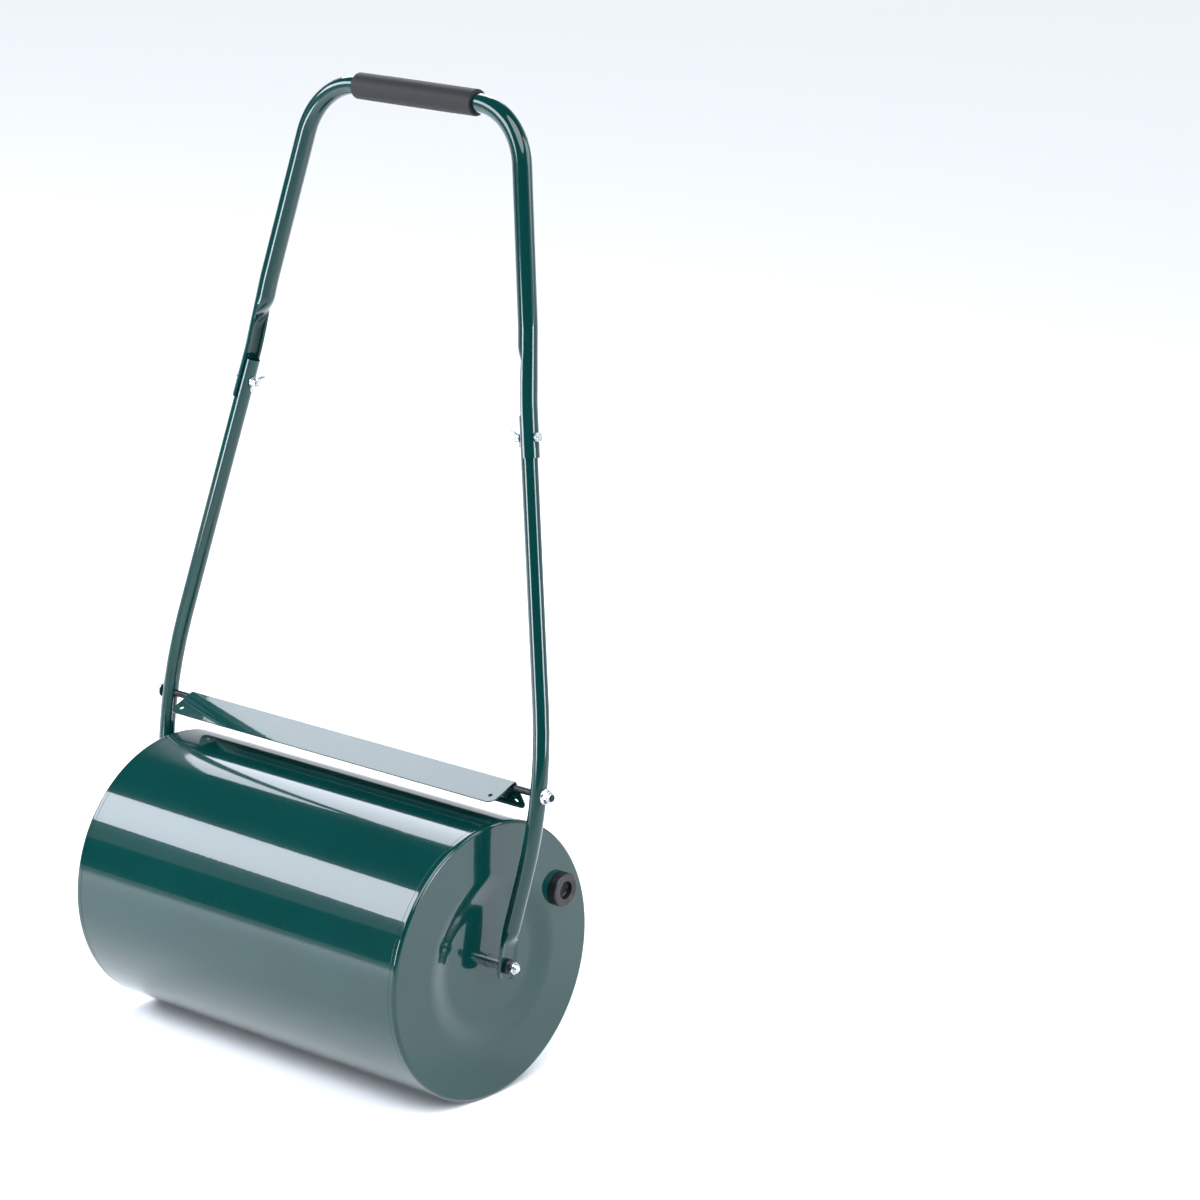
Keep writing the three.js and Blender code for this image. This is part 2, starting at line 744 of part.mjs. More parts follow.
function legHole(end) {
  const depth = 6 * scraperSheet;
  const drill = new THREE.CylinderGeometry(scraperHoleRadius, scraperHoleRadius, depth, 16);
  const x = end * (scraperHalfLength - scraperHoleInset);
  return drill.rotateX(Math.PI / 2).translate(x, scraperHoleInset - scraperLeg, 0);
}

function scraperSheetMetal() {
  const sheet = slab(foldedSection(), 2 * scraperHalfLength, 6).applyMatrix4(sectionToYZ);
  sheet.translate(-scraperHalfLength, 0, 0);
  const tools = [];
  for (const side of [1, -1]) {
    for (const end of [1, -1]) tools.push(toLeg(cornerWaste(end), side), toLeg(legHole(end), side));
  }
  return cut(sheet, ...tools);
}

// A hanger plate that fills the fold below the rod and carries the scraper on it in a notch.
function scraperLug() {
  const top = scraperRidge;
  const reach = scraperRidge + lugDrop;
  const inside = scraperSheet + touchGap;
  const halfAt = (depth) => depth * Math.tan(foldAngle) - inside / Math.cos(foldAngle);
  const plate = new THREE.Shape();
  plate.moveTo(-halfAt(top), -top);
  plate.lineTo(-halfAt(reach), -reach);
  plate.lineTo(halfAt(reach), -reach);
  plate.lineTo(halfAt(top), -top);
  plate.absarc(0, -top, rodRadius + touchGap, 0, -Math.PI, true);
  plate.closePath();
  return slab(plate, lugSheet, 12).applyMatrix4(sectionToYZ);
}

place(handle, "upper_handle", upperHandle(), greenEnamel);
place(handle, "foam_grip", foamGrip(), foam);
place(handle, "tie_rod", tieRod().translate(0, 0, rodHeight), blackOxide);
for (const side of ["right", "left"]) {
  const group = sideGroup(handle, side);
  place(group, "lower_arm_" + side, lowerArm(), greenEnamel);
  place(group, "axle_bush_" + side, axleBush(), nylon);
  place(group, "tie_rod_nut_" + side, hexNut(flangeNut).translate(rodNutX, 0, rodHeight), zinc);
  place(group, "joint_bolt_" + side, jointBolt(), zinc);
  place(group, "joint_washer_" + side, jointWasherPlaced(), zinc);
  place(group, "wing_nut_" + side, wingNutPlaced(), zinc);
}

const scraper = new THREE.Group();
scraper.position.z = rodHeight;
scraper.rotation.x = (handleLean - scraperTilt) * deg;
handle.add(scraper);

place(scraper, "scraper_sheet", scraperSheetMetal().translate(0, 0, scraperRidge), greenEnamel);
for (const side of ["right", "left"]) {
  const lug = scraperLug().translate(scraperHalfLength - lugInset, 0, scraperRidge);
  place(sideGroup(scraper, side), "scraper_lug_" + side, lug, greenEnamel);
}

export default roller;
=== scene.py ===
import math

import bpy
from mathutils import Matrix, Vector


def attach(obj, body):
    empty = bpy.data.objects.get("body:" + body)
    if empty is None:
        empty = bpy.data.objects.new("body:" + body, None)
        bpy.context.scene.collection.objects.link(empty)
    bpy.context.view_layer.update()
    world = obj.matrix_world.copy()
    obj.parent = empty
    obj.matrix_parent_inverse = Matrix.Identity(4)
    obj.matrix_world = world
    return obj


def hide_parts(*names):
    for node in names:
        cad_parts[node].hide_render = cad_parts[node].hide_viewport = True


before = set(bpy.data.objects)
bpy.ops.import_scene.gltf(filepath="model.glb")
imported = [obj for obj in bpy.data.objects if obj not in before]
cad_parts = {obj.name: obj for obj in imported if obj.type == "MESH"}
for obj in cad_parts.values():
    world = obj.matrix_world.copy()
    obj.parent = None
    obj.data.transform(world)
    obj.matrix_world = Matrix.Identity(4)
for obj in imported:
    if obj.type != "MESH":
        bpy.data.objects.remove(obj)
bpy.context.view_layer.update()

mm = 0.001

# ---- The view -----------------------------------------------------------------------------------
# A long lens stands 4.7 m off, turned 40 degrees from the front towards the plug's side and 15 degrees
# up. It looks past the roller's right side, so the roller stands in the left of the frame.
turn = math.radians(39.99)
lift = math.radians(15.43)
roll = math.radians(0.89)
axle = Vector((0, 0, 160 * mm))
back = Vector((math.sin(turn) * math.cos(lift), -math.cos(turn) * math.cos(lift), math.sin(lift)))
level = Vector((math.cos(turn), math.sin(turn), 0))
upright = back.cross(level)
across = level * math.cos(roll) + upright * math.sin(roll)
upwards = upright * math.cos(roll) - level * math.sin(roll)
bpy.ops.object.camera_add()
camera = bpy.context.active_object
camera.name = "camera"
camera.data.lens = 123.86
camera.data.sensor_width = 36
camera.data.clip_end = 100
camera.data.dof.use_dof = False
standing = axle + back * 4.7146 + across * 0.3093 + upwards * 0.3536
turned_to = Matrix((across, upwards, back)).transposed().to_4x4()
camera.matrix_world = Matrix.Translation(standing) @ turned_to
bpy.context.scene.camera = camera

# ---- The studio ---------------------------------------------------------------------------------
# Long soft boxes over the roller's left give the pale bands on the drum, and upright ones on either
# side give the bright lines on the tubes. A broad soft sun keeps the floor pale. A white backdrop
# stands behind, and the rest of the room is dark.


def linear(colour):
    """An sRGB hex value as linear RGBA."""
    channels = [((colour >> shift) & 255) / 255 for shift in (16, 8, 0)]
    return [c / 12.92 if c <= 0.04045 else ((c + 0.055) / 1.055) ** 2.4 for c in channels] + [1]


def node(tree, kind, settings=None, **links):
    """Adds a node. Settings go to its own options or its sockets, links to its sockets by name."""
    made = tree.nodes.new(kind)
    for key, value in (settings or {}).items():
        if hasattr(made, key):
            setattr(made, key, value)
        else:
            made.inputs[key].default_value = value
    for key, source in links.items():
        target = made.inputs[int(key[1:])] if key[1:].isdigit() else made.inputs[key.replace("_", " ")]
        tree.links.new(source, target)
    return made


def soft_box(name, location, spin, length, width, watts):
    """A panel that faces down with its length along X, and is then turned about X, Y and Z."""
    bpy.ops.object.light_add(type="AREA", location=location)
    lamp = bpy.context.active_object
    lamp.name = name
    lamp.rotation_euler = [math.radians(a) for a in spin]
    lamp.data.shape = "RECTANGLE"
    lamp.data.size = length
    lamp.data.size_y = width
    lamp.data.energy = watts
    lamp.data.color = linear(0xF0F4FF)[:3]


soft_box("front_box", (-2.5, -1.7, 2.2), (36, 10, -8), 4.2, 1.2, 195)
soft_box("front_rim_box", (-2.5, -2.3, 1.5), (58, 0, 0), 4.2, 0.6, 5)
soft_box("rear_box", (-1.45, 1.30, 2.15), (-34, 0, 0), 1.75, 1.30, 46)
soft_box("right_box", (1.9, 1.6, 1.8), (-38, 30, 0), 1.6, 1.4, 30)
soft_box("left_tall_box", (-0.95, -2.95, 0.8), (90, 0, -18), 0.9, 1.0, 52)
soft_box("right_tall_box", (2.9, 0.85, 0.8), (90, 0, 107), 0.8, 1.1, 44)
bpy.ops.object.light_add(type="SUN", rotation=(math.radians(14), math.radians(30), 0))
sun = bpy.context.active_object
sun.name = "broad_sun"
sun.data.energy = 3.5
sun.data.color = linear(0xF8FAFF)[:3]
sun.data.angle = math.radians(50)

room = bpy.data.worlds.new("room")
bpy.context.scene.world = room
room.use_nodes = True
tree = room.node_tree
tree.nodes.clear()
direction = node(tree, "ShaderNodeTexCoord")
parts_of = node(tree, "ShaderNodeSeparateXYZ", _0=direction.outputs["Generated"])
towards_back = {"From Min": 0.05, "From Max": 0.4}
below_top = {"From Min": 0.62, "From Max": 0.3}
behind = node(tree, "ShaderNodeMapRange", towards_back, Value=parts_of.outputs["Y"])
below = node(tree, "ShaderNodeMapRange", below_top, Value=parts_of.outputs["Z"])
on_backdrop = node(tree, "ShaderNodeMath", {"operation": "MULTIPLY"})
tree.links.new(behind.outputs["Result"], on_backdrop.inputs[0])
tree.links.new(below.outputs["Result"], on_backdrop.inputs[1])
shade = node(tree, "ShaderNodeMix", {"data_type": "RGBA"}, Factor=on_backdrop.outputs["Value"])
shade.inputs["A"].default_value = linear(0x343E43)
shade.inputs["B"].default_value = linear(0xDDE4E8)
glow = node(tree, "ShaderNodeBackground", {"Strength": 1.0}, Color=shade.outputs["Result"])
node(tree, "ShaderNodeOutputWorld", Surface=glow.outputs["Background"])
bpy.context.scene.view_settings.view_transform = "Standard"

bpy.ops.object.select_all(action="DESELECT")
bpy.ops.mesh.primitive_plane_add(size=60)
floor = bpy.context.active_object
floor.name = "floor"
paper = bpy.data.materials.new("pale_paper_floor")
paper.use_nodes = True
tree = paper.node_tree
tree.nodes.clear()
matt_white = {"Base Color": linear(0xF0F1F1), "Roughness": 0.9, "Specular IOR Level": 0.1}
sheet = node(tree, "ShaderNodeBsdfPrincipled", matt_white)
node(tree, "ShaderNodeOutputMaterial", Surface=sheet.outputs["BSDF"])
floor.data.materials.append(paper)

# ---- Green enamel -------------------------------------------------------------------------------
# Gloss powder coat in bottle green, baked on steel. The eye sees a deep colour under a clear, wet
# shine that mirrors the soft boxes, with the faint ripple of orange peel.


def material(name):
    """A new material with an empty tree and one principled shader joined to its output."""
    made = bpy.data.materials.new(name)
    made.use_nodes = True
    tree = made.node_tree
    tree.nodes.clear()
    shader = node(tree, "ShaderNodeBsdfPrincipled")
    node(tree, "ShaderNodeOutputMaterial", Surface=shader.outputs["BSDF"])
    place = node(tree, "ShaderNodeTexCoord").outputs["Object"]
    return made, tree, shader, place


def per_metre(size_mm):
    """The scale of a texture whose features are this many millimetres across."""
    return 1000 / size_mm


def patches(tree, place, size_mm, detail, roughness=0.5):
    """Soft noise whose patches are this many millimetres across."""
    settings = {"Scale": per_metre(size_mm), "Detail": detail, "Roughness": roughness}
    return node(tree, "ShaderNodeTexNoise", settings, Vector=place).outputs["Fac"]


def tint(tree, shader, share, dark, light):
    """Moves the base colour between two shades."""
    blend = node(tree, "ShaderNodeMix", {"data_type": "RGBA"}, Factor=share)
    blend.inputs["A"].default_value = linear(dark)
    blend.inputs["B"].default_value = linear(light)
    tree.links.new(blend.outputs["Result"], shader.inputs["Base Color"])


def haze(tree, shader, share, least, most):
    """Moves the roughness between two values."""
    spread = node(tree, "ShaderNodeMapRange", {"To Min": least, "To Max": most}, Value=share)
    tree.links.new(spread.outputs["Result"], shader.inputs["Roughness"])


def relief(tree, shader, height, strength, depth_mm):
    """Raises a fine relief on the surface."""
    bump = node(tree, "ShaderNodeBump", {"Strength": strength, "Distance": depth_mm * mm}, Height=height)
    tree.links.new(bump.outputs["Normal"], shader.inputs["Normal"])
    return bump


enamel, tree, shader, place = material("bottle_green_powder_coat")
shader.inputs["IOR"].default_value = 1.5
shader.inputs["Specular IOR Level"].default_value = 0.1
shader.inputs["Coat Weight"].default_value = 1.0
shader.inputs["Coat IOR"].default_value = 1.44
shader.inputs["Coat Roughness"].default_value = 0.025
tint(tree, shader, patches(tree, place, 90, 3), 0x022B28, 0x033331)
haze(tree, shader, patches(tree, place, 25, 4), 0.13, 0.21)
orange_peel = relief(tree, shader, patches(tree, place, 4, 1), 0.05, 0.2)
tree.links.new(orange_peel.outputs["Normal"], shader.inputs["Coat Normal"])

# ---- Drum shell ---------------------------------------------------------------------------------
# One steel sheet rolled to a tube 320 mm across and pushed over the spigots of the end discs. Its
# two rims stop short of the discs' skirts and leave a fine dark seam.
drum_radius = 160
drum_half = 250
drum_turns = 256
shell_wall = 1.5
disc_skirt = 8.5
touch_gap = 0.3


def select_only(piece):
    """Leaves edit mode and makes a piece the only one selected."""
    if bpy.context.mode != "OBJECT":
        bpy.ops.object.mode_set(mode="OBJECT")
    bpy.ops.object.select_all(action="DESELECT")
    piece.select_set(True)
    bpy.context.view_layer.objects.active = piece


def face_outwards():
    """Turns every face of the piece in edit mode outwards, and leaves edit mode."""
    bpy.ops.mesh.select_all(action="SELECT")
    bpy.ops.mesh.normals_make_consistent(inside=False)
    bpy.ops.object.mode_set(mode="OBJECT")


def turned(name, profile, turns=96, tube=False):
    """A turned piece about the X axis: a ring is extruded and resized from each (radius, x) to the next.
    A tube's last ring is bridged to its first, and any other piece has its two ends filled."""
    bpy.ops.object.select_all(action="DESELECT")
    radius, x = profile[0]
    bpy.ops.mesh.primitive_circle_add(vertices=turns, radius=radius * mm)
    piece = bpy.context.active_object
    piece.name = name
    piece.rotation_euler.y = math.pi / 2
    piece.location.x = x * mm
    bpy.ops.object.transform_apply()
    bpy.ops.object.mode_set(mode="EDIT")
    bpy.ops.mesh.select_all(action="SELECT")
    for (radius, x), (next_radius, next_x) in zip(profile, profile[1:]):
        bpy.ops.mesh.extrude_region_move(TRANSFORM_OT_translate={"value": ((next_x - x) * mm, 0, 0)})
        grow = next_radius / radius
        if grow != 1:
            bpy.ops.transform.resize(value=(1, grow, grow), center_override=(next_x * mm, 0, 0))
    bpy.ops.mesh.select_all(action="DESELECT")
    bpy.ops.mesh.select_non_manifold()
    if tube:
        bpy.ops.mesh.bridge_edge_loops()
    else:
        bpy.ops.mesh.fill_holes(sides=0)
    face_outwards()
    return piece


def modify(piece, kind, **settings):
    """Adds a modifier and applies it."""
    select_only(piece)
    made = piece.modifiers.new(kind.lower(), kind)
    for key, value in settings.items():
        setattr(made, key, value)
    bpy.ops.object.modifier_apply(modifier=made.name)


def soften(piece, width, segments=3, angle=30):
    """Rounds the hard edges and shades the rest smooth."""
    if width:
        edges = {"limit_method": "ANGLE", "angle_limit": math.radians(angle)}
        modify(piece, "BEVEL", width=width * mm, segments=segments, **edges)
    select_only(piece)
    bpy.ops.object.shade_smooth_by_angle(angle=math.radians(28))
    modify(piece, "WEIGHTED_NORMAL", keep_sharp=True)


def put(piece, move=(0, 0, 0), spin=(0, 0, 0)):
    """Turns a piece about X, Y and Z, then moves it, and leaves its object at the origin."""
    select_only(piece)
    piece.rotation_euler = [math.radians(a) for a in spin]
    piece.location = [m * mm for m in move]
    bpy.ops.object.transform_apply()
    return piece


def copy_of(piece, name):
    """A copy with its own mesh."""
    twin = piece.copy()
    twin.data = piece.data.copy()
    twin.name = name
    bpy.context.scene.collection.objects.link(twin)
    return twin


def fit_out(piece, finish, body, stands_for=None):
    """Gives a finished piece its material and the body that it rides on."""
    piece.data.materials.clear()
    piece.data.materials.append(finish)
    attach(piece, body)
    if stands_for:
        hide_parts(stands_for)


shell_end = drum_half - disc_skirt - touch_gap
shell_bore = drum_radius - shell_wall
shell_profile = [
    (shell_bore, -shell_end),
    (drum_radius, -shell_end),
    (drum_radius, shell_end),
    (shell_bore, shell_end),
]
rolled_shell = turned("rolled_shell", shell_profile, drum_turns, tube=True)
soften(rolled_shell, 0.35)
put(rolled_shell, (0, 0, drum_radius))
fit_out(rolled_shell, enamel, "drum", "drum_shell")

# ---- End discs ----------------------------------------------------------------------------------
# Steel discs pressed with a rounded rim, a short skirt, a stepped-in spigot for the shell and a
# shallow dish round the axle. The right disc is pierced near its rim for the filler, with a collar.
disc_sheet = 1.2
spigot_length = 10
rim_radius = 4.5
dish_depth = 6
dish_outer = 104
dish_inner = 66
shoulder_radius = 7
filler_distance = 125
filler_angle = math.radians(63)
filler_radius = 16
filler_collar = 8


def arc(centre_radius, centre_x, radius, start, end, steps):
    """Points of an arc in a turned profile, from one angle to the other in degrees."""
    points = []
    for step in range(steps + 1):
        a = math.radians(start + (end - start) * step / steps)
        points.append((centre_radius + radius * math.cos(a), centre_x + radius * math.sin(a)))
    return points


def dish(inner, outer, floor_x, rim_x, steps):
    """The dish's wall as an eased slope between its floor and its rim."""
    points = []
    for step in range(steps + 1):
        share = step / steps
        eased = share * share * (3 - 2 * share)
        points.append((inner + (outer - inner) * share, floor_x + (rim_x - floor_x) * eased))
    return points


def at_filler(piece):
    """Moves a piece from the axle line to the filler hole."""
    y = filler_distance * math.sin(filler_angle)
    z = filler_distance * math.cos(filler_angle)
    return put(piece, (0, y, drum_radius + z))


def cut_out(piece, tool, operation="DIFFERENCE"):
    """Cuts a piece with a tool, or joins the tool to it, and throws the tool away."""
    modify(piece, "BOOLEAN", object=tool, operation=operation, solver="EXACT")
    bpy.data.objects.remove(tool)


spigot_outer = drum_radius - shell_wall - touch_gap
spigot_inner = spigot_outer - disc_sheet
skirt_end = drum_half - disc_skirt
spigot_end = skirt_end - spigot_length
dish_floor = drum_half - dish_depth
rim_middle = drum_half - rim_radius
inside_rim = rim_radius - disc_sheet
disc_hole = shoulder_radius + touch_gap
disc_profile = [(disc_hole, dish_floor - disc_sheet)]
disc_profile += dish(dish_inner, dish_outer, dish_floor - disc_sheet, drum_half - disc_sheet, 10)
disc_profile += arc(spigot_inner - inside_rim, rim_middle, inside_rim, 90, 0, 6)
disc_profile += [(spigot_inner, spigot_end), (spigot_outer, spigot_end), (spigot_outer, skirt_end)]
disc_profile += [(drum_radius, skirt_end)]
disc_profile += arc(drum_radius - rim_radius, rim_middle, rim_radius, 0, 90, 10)
disc_profile += dish(dish_inner, dish_outer, dish_floor, drum_half, 10)[::-1]
disc_profile += [(disc_hole, dish_floor)]
pressed_disc_left = turned("pressed_disc_left", disc_profile, drum_turns, tube=True)
pressed_disc_right = copy_of(pressed_disc_left, "pressed_disc_right")
put(pressed_disc_left, (0, 0, drum_radius), (0, 0, 180))
put(pressed_disc_right, (0, 0, drum_radius))
collar_end = drum_half - filler_collar
collar_profile = [(filler_radius + disc_sheet, collar_end), (filler_radius + disc_sheet, drum_half - 0.6)]
cut_out(pressed_disc_right, at_filler(turned("collar", collar_profile, 64)), "UNION")
bore_profile = [(filler_radius, collar_end - 2), (filler_radius, drum_half - 0.8)]
bore_profile += [(filler_radius + 0.25, drum_half - 0.3), (filler_radius + 0.9, drum_half)]
bore_profile += [(filler_radius + 0.9, drum_half + 2)]
cut_out(pressed_disc_right, at_filler(turned("bore", bore_profile, 64)))
for disc, side in ((pressed_disc_right, "right"), (pressed_disc_left, "left")):
    soften(disc, 0)
    fit_out(disc, enamel, "drum", "end_disc_" + side)

# ---- Filler plug --------------------------------------------------------------------------------
# A moulded rubber bung, pushed into the collar of the filler hole by its rounded head. Its thick
# flange has a blind pocket, and stays proud of the disc so that fingers can pull it.

# A satin black whose shine comes and goes in soft patches, over the fine grain of the mould.
rubber, tree, shader, place = material("moulded_black_rubber")
shader.inputs["Specular IOR Level"].default_value = 0.45
blotches = patches(tree, place, 12, 4)
tint(tree, shader, blotches, 0x101112, 0x1A1B1D)
haze(tree, shader, blotches, 0.3, 0.46)
relief(tree, shader, patches(tree, place, 0.6, 2), 0.15, 0.1)

plug_flange = 19.5
plug_height = 10.5
pocket_radius = 10
pocket_depth = 8
plug_neck = 13.5
plug_head = 8
head_radius = filler_radius - 0.5
head_start = drum_half - filler_collar - 1
plug_under = drum_half + touch_gap
plug_top = plug_under + plug_height
plug_profile = [(2, head_start - plug_head + 1), (8, head_start - plug_head)]
plug_profile += arc(head_radius - 3, head_start - plug_head + 3, 3, -90, 0, 6)
plug_profile += [(head_radius, head_start - 1.5), (plug_neck, head_start), (plug_neck, plug_under)]
plug_profile += arc(plug_flange - 0.8, plug_under + 0.8, 0.8, -90, 0, 3)
plug_profile += arc(plug_flange - 2.2, plug_top - 2.2, 2.2, 0, 90, 8)
plug_profile += [(pocket_radius + 4, plug_top), (pocket_radius + 3.6, plug_top - 0.5)]
plug_profile += [(pocket_radius + 1.4, plug_top - 0.5)]
plug_profile += [(pocket_radius + 0.4, plug_top - 0.8), (pocket_radius, plug_top - 1.6)]
pocket_floor = plug_top - pocket_depth
plug_profile += [(pocket_radius - 0.6, pocket_floor + 1), (pocket_radius - 1.6, pocket_floor)]
plug_profile += [(2, pocket_floor)]
bung = turned("bung", plug_profile, 96)
soften(bung, 0)
at_filler(bung)
fit_out(bung, rubber, "plug", "filler_plug")

# ---- Hubs and stub axles ------------------------------------------------------------------------
# A thick mill-steel plate is welded behind each disc, and a zinc-plated stub with an M8 thread
# passes through both. A shoulder on the stub keeps the arm clear of the disc.


def plating(name, dark, light, least_rough, most_rough, grain_mm):
    """A bare or plated metal with soft blotches of colour and haze and a fine grain."""
    made, tree, shader, place = material(name)
    shader.inputs["Metallic"].default_value = 1.0
    blotches = patches(tree, place, 7, 5, 0.6)
    tint(tree, shader, blotches, dark, light)
    haze(tree, shader, blotches, least_rough, most_rough)
    relief(tree, shader, patches(tree, place, grain_mm, 2), 0.12, 0.1)
    return made


# The zinc is cool and bright, with a hazed shine. The mill steel is a duller, darker grey.
zinc = plating("bright_zinc_plate", 0xA9AFB5, 0xDADDE0, 0.2, 0.36, 0.5)
mill_steel = plating("mill_steel", 0x74787C, 0x96999B, 0.4, 0.6, 0.8)
m8 = 4
m8_pitch = 1.25
thread_gap = 0.35
lock_nut_height = 8
arm_plate_gap = 17
arm_plate = 4.4
plate_curl = 1.1
plate_inner = drum_half + arm_plate_gap
plate_outer = plate_inner + arm_plate
bush_start = plate_outer + plate_curl + touch_gap
bush_flange = 4.6
axle_nut_start = bush_start + bush_flange + touch_gap
thread_past_nut = 1.6
hub_plate = 3
head_length = 5
stub_head = 10


def thread(radius, pitch, start, end):
    """A threaded stretch of a turned profile, drawn as rings, with a chamfered tip."""
    points = [(radius, start)]
    root = radius - 0.55 * pitch
    chamfer = 0.8
    for groove in range(int((end - start - chamfer) / pitch)):
        x = start + groove * pitch
        points += [(radius, x + 0.15 * pitch), (root, x + 0.5 * pitch), (radius, x + 0.85 * pitch)]
    return points + [(radius, end - chamfer), (radius - chamfer, end)]


head_face = drum_half - dish_depth - disc_sheet - touch_gap - hub_plate - touch_gap
shoulder_end = plate_inner - touch_gap
stub_profile = [(stub_head - 1, head_face - head_length), (stub_head, head_face - head_length + 0.6)]
stub_profile += [(stub_head, head_face), (shoulder_radius, head_face)]
stub_profile += [(shoulder_radius, shoulder_end - 0.5), (shoulder_radius - 0.5, shoulder_end)]
stub_profile += [(m8, shoulder_end)]
stub_profile += thread(m8, m8_pitch, axle_nut_start - 4, axle_nut_start + lock_nut_height + thread_past_nut)
stub_right = turned("stub_axle_right", stub_profile, 64)
soften(stub_right, 0)
stub_left = put(copy_of(stub_right, "stub_axle_left"), (0, 0, drum_radius), (0, 0, 180))
put(stub_right, (0, 0, drum_radius))
for stub, side in ((stub_right, "right"), (stub_left, "left")):
    fit_out(stub, zinc, "drum", "axle_stub_" + side)
    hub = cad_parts["hub_plate_" + side]
    hub.data.materials.clear()
    hub.data.materials.append(mill_steel)

# ---- Axle nuts ----------------------------------------------------------------------------------
# Zinc-plated M8 lock nuts: a chamfered hexagon with a crimped collar over a nylon ring. They hold
# the arms on the stubs.
nut_flats = 13
collar_radius = 5.4
collar_height = 2.4


def hexagon(name, flats, start, end, chamfer_start, chamfer_end):
    """A six-sided bar along X, its corners taken off by a cone at either end where asked."""
    bpy.ops.object.select_all(action="DESELECT")
    across_corners = flats / math.cos(math.pi / 6)
    bpy.ops.mesh.primitive_cylinder_add(vertices=6, radius=across_corners / 2 * mm, depth=(end - start) * mm)
    piece = bpy.context.active_object
    piece.name = name
    put(piece, ((start + end) / 2, 0, 0), (0, 90, 0))
    corner = across_corners / 2 + 0.1
    face = flats / 2 * 0.96
    slope = (corner - face) * 0.58
    cone = [(face, start)] if chamfer_start else [(corner, start - 1)]
    cone += [(corner, start + (slope if chamfer_start else 0)), (corner, end - (slope if chamfer_end else 0))]
    cone += [(face, end)] if chamfer_end else [(corner, end + 1)]
    cut_out(piece, turned("cone", cone, 64), "INTERSECT")
    return piece


def lock_nut(name, bore, flange_radius=0, flange_height=0, height=lock_nut_height):
    """A lock nut along X with its bearing face at x = 0, on a sloping flange if it has one."""
    body_end = height - collar_height
    nut = hexagon(name, nut_flats, 0.02, body_end, not flange_radius, True)
    collar = [(collar_radius + 0.5, body_end - 0.8), (collar_radius + 0.3, body_end + 0.3)]
    collar += [(collar_radius, body_end + 0.8)]
    collar += arc(collar_radius - 0.9, height - 0.9, 0.9, 0, 90, 5) + [(bore + 0.4, height - 0.05)]
    cut_out(nut, turned("collar", collar, 64), "UNION")
    if flange_radius:
        edge = flange_height / 2
        flange = [(flange_radius - 0.3, 0)] + arc(flange_radius - edge / 2, edge / 2, edge / 2, -60, 60, 5)
        flange += [(nut_flats / 2 - 0.2, 1.7 * flange_height)]
        cut_out(nut, turned("flange", flange, 96), "UNION")
    cut_out(nut, turned("bore", [(bore + 0.1, -1), (bore + 0.1, height + 1)], 64))
    soften(nut, 0.18, 2)
    return nut


axle_nut_right = put(lock_nut("axle_lock_nut_right", m8), (axle_nut_start, 0, drum_radius), (12, 0, 0))
axle_nut_left = put(copy_of(axle_nut_right, "axle_lock_nut_left"), (0, 0, 0), (0, 0, 180))
for nut, side in ((axle_nut_right, "right"), (axle_nut_left, "left")):
    fit_out(nut, zinc, "drum", "axle_nut_" + side)

# ---- Axle bushes --------------------------------------------------------------------------------
# Black nylon bushes line the holes in the arms, so that the stubs turn freely. Their flanges
# keep the lock nuts off the paint.

# An even satin black, smoother and a little deeper than the rubber.
nylon, tree, shader, place = material("satin_black_nylon")
mottle = patches(tree, place, 5, 3)
tint(tree, shader, mottle, 0x0B0C0D, 0x131416)
haze(tree, shader, mottle, 0.28, 0.4)

bush_bore = m8 + thread_gap
bush_sleeve = 6
bush_radius = 8.6
bush_end = bush_start + bush_flange
bush_profile = [(bush_bore, plate_inner), (bush_sleeve, plate_inner), (bush_sleeve, bush_start)]
bush_profile += arc(bush_radius - 0.5, bush_start + 0.5, 0.5, -90, 0, 3)
bush_profile += arc(bush_radius - 1.2, bush_end - 1.2, 1.2, 0, 90, 6) + [(bush_bore, bush_end)]
bush_right = turned("nylon_bush_right", bush_profile, 96, tube=True)
soften(bush_right, 0)
put(bush_right, (0, 0, drum_radius))
bush_left = put(copy_of(bush_right, "nylon_bush_left"), (0, 0, 0), (0, 0, 180))
for bush, side in ((bush_right, "right"), (bush_left, "left")):
    fit_out(bush, nylon, "frame", "axle_bush_" + side)

# ---- Lower arms ---------------------------------------------------------------------------------
# Bent 19 mm steel tubes in the same green enamel. Each is squeezed flat at the axle, with its long
# edges curled outwards, and its other end is sawn off square inside the handle's trough.
lean = 8.95
arm_radius = 9.5
tube_wall = 0.9
rod_gap = 37
rod_height = drum_radius + rod_gap
arm_plate_x = plate_inner + arm_plate / 2
plate_half_width = 14
kick_height = 28
kick_slope = 0.16
arm_corner_x = arm_plate_x + kick_slope * (rod_height - kick_height)
arm_bend = 520
arm_overlap = 24
joint_height = 580
joint_x = 215.6
m6 = 3
bolt_hole = m6 + thread_gap
run = math.atan2(joint_height - rod_height, joint_x - arm_corner_x)
run_tilt = 90 - math.degrees(run)
tube_turns = 48


def on_arm(height, outwards):
    """A point at a height on the arm's straight upper stretch, moved outwards from it."""
    x = arm_corner_x + (height - rod_height) / math.tan(run)
    return x + outwards * math.sin(run), height - outwards * math.cos(run)


def ring(name, radius, x, height, tilt):
    """A ring of edges round a tube's line in the handle's plane. Tilt is from upright, towards +X."""
    bpy.ops.object.select_all(action="DESELECT")
    bpy.ops.mesh.primitive_circle_add(vertices=tube_turns, radius=radius * mm)
    piece = bpy.context.active_object
    piece.name = name
    return put(piece, (x, 0, height), (0, tilt, 0))


